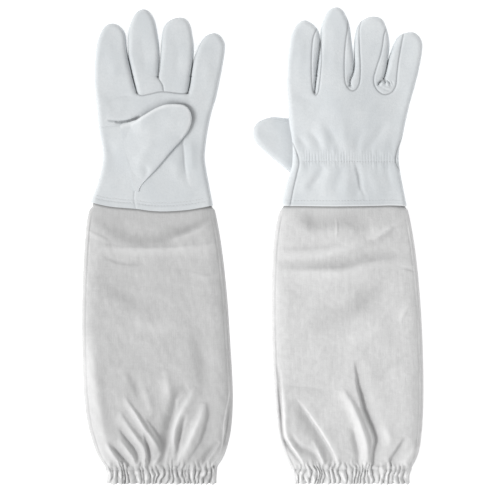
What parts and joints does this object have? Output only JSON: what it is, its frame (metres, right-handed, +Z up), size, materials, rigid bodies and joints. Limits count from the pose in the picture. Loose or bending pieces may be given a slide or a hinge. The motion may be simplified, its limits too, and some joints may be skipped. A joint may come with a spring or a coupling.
{
  "type": "beekeeping gloves",
  "caption": "Pair of soft pale leather beekeeping gloves with long canvas sleeves, shirred wrists and elasticated arm openings, lying flat, palm up and palm down.",
  "frame": {"origin": "middle of the pair's footprint, on the surface that the gloves lie on", "axes": "+Y along the gloves towards the fingertips, +X from the left glove to the right glove, +Z up from the surface"},
  "size_m": [0.359, 0.502, 0.0267],
  "materials": {
    "leather": "smooth soft goatskin, semi-matt",
    "canvas": "plain-weave cotton canvas, matt",
    "elastic": "woven elastic tape, matt",
    "thread": "polyester sewing thread"
  },
  "bodies": {
    "left_hand": {"left_palm_panel": "leather", "left_heel_panel": "leather", "left_back_panel": "leather", "left_wrist_elastic": "elastic", "left_wrist_thread": "thread", "left_hem_thread_lower": "thread", "left_hem_thread_upper": "thread"},
    "left_index_finger": {"left_index_front": "leather", "left_index_back": "leather", "left_index_fourchette_little_side": "leather"},
    "left_middle_finger": {"left_middle_front": "leather", "left_middle_back": "leather", "left_middle_fourchette_thumb_side": "leather", "left_middle_fourchette_little_side": "leather"},
    "left_ring_finger": {"left_ring_front": "leather", "left_ring_back": "leather", "left_ring_fourchette_thumb_side": "leather", "left_ring_fourchette_little_side": "leather"},
    "left_little_finger": {"left_little_front": "leather", "left_little_back": "leather", "left_little_fourchette_thumb_side": "leather"},
    "left_thumb": {"left_thumb_outer": "leather", "left_thumb_inner": "leather"},
    "left_sleeve": {"left_sleeve_palm_panel": "canvas", "left_sleeve_back_panel": "canvas", "left_arm_elastic": "elastic", "left_casing_thread": "thread"},
    "right_hand": {"right_palm_panel": "leather", "right_heel_panel": "leather", "right_back_panel": "leather", "right_wrist_elastic": "elastic", "right_wrist_thread": "thread", "right_hem_thread_lower": "thread", "right_hem_thread_upper": "thread"},
    "right_index_finger": {"right_index_front": "leather", "right_index_back": "leather", "right_index_fourchette_little_side": "leather"},
    "right_middle_finger": {"right_middle_front": "leather", "right_middle_back": "leather", "right_middle_fourchette_thumb_side": "leather", "right_middle_fourchette_little_side": "leather"},
    "right_ring_finger": {"right_ring_front": "leather", "right_ring_back": "leather", "right_ring_fourchette_thumb_side": "leather", "right_ring_fourchette_little_side": "leather"},
    "right_little_finger": {"right_little_front": "leather", "right_little_back": "leather", "right_little_fourchette_thumb_side": "leather"},
    "right_thumb": {"right_thumb_outer": "leather", "right_thumb_inner": "leather"},
    "right_sleeve": {"right_sleeve_palm_panel": "canvas", "right_sleeve_back_panel": "canvas", "right_arm_elastic": "elastic", "right_casing_thread": "thread"}
  },
  "joints": [
    {"name": "left_index_flex", "type": "hinge", "parent": "left_hand", "child": "left_index_finger", "pos_m": [-0.1477, 0.17896, 0.014], "axis": [1, 0, 0], "range_deg": [0, 90]},
    {"name": "left_middle_flex", "type": "hinge", "parent": "left_hand", "child": "left_middle_finger", "pos_m": [-0.1131, 0.17896, 0.014], "axis": [1, 0, 0], "range_deg": [0, 90]},
    {"name": "left_ring_flex", "type": "hinge", "parent": "left_hand", "child": "left_ring_finger", "pos_m": [-0.0802, 0.17896, 0.014], "axis": [1, 0, 0], "range_deg": [0, 90]},
    {"name": "left_little_flex", "type": "hinge", "parent": "left_hand", "child": "left_little_finger", "pos_m": [-0.048, 0.17896, 0.014], "axis": [1, 0, 0], "range_deg": [0, 90]},
    {"name": "left_thumb_swing", "type": "hinge", "parent": "left_hand", "child": "left_thumb", "pos_m": [-0.1337, 0.09296, 0.0204], "axis": [0.3237, -0.9462, 0], "range_deg": [0, 150]},
    {"name": "left_sleeve_fold", "type": "hinge", "parent": "left_hand", "child": "left_sleeve", "pos_m": [-0.1027, 0.04276, 0.0142], "axis": [-1, 0, 0], "range_deg": [0, 120]},
    {"name": "right_index_flex", "type": "hinge", "parent": "right_hand", "child": "right_index_finger", "pos_m": [0.05115, 0.17896, 0.00999], "axis": [-1, 0, 0], "range_deg": [0, 90]},
    {"name": "right_middle_flex", "type": "hinge", "parent": "right_hand", "child": "right_middle_finger", "pos_m": [0.0858, 0.17896, 0.00999], "axis": [-1, 0, 0], "range_deg": [0, 90]},
    {"name": "right_ring_flex", "type": "hinge", "parent": "right_hand", "child": "right_ring_finger", "pos_m": [0.1231, 0.17896, 0.00498], "axis": [-1, 0, 0], "range_deg": [0, 90]},
    {"name": "right_little_flex", "type": "hinge", "parent": "right_hand", "child": "right_little_finger", "pos_m": [0.1578, 0.17896, 0.0003], "axis": [-1, 0, 0], "range_deg": [0, 90]},
    {"name": "right_thumb_swing", "type": "hinge", "parent": "right_hand", "child": "right_thumb", "pos_m": [0.069, 0.09496, 0.006], "axis": [0.3091, -0.951, 0], "range_deg": [0, 140]},
    {"name": "right_sleeve_fold", "type": "hinge", "parent": "right_hand", "child": "right_sleeve", "pos_m": [0.1, 0.04276, 0.0269], "axis": [-1, 0, 0], "range_deg": [0, 120]},
    {"name": "right_glove_lift", "type": "slide", "parent": "left_hand", "child": "right_hand", "axis": [0, 0, 1], "range_m": [0, 0.15]}
  ]
}
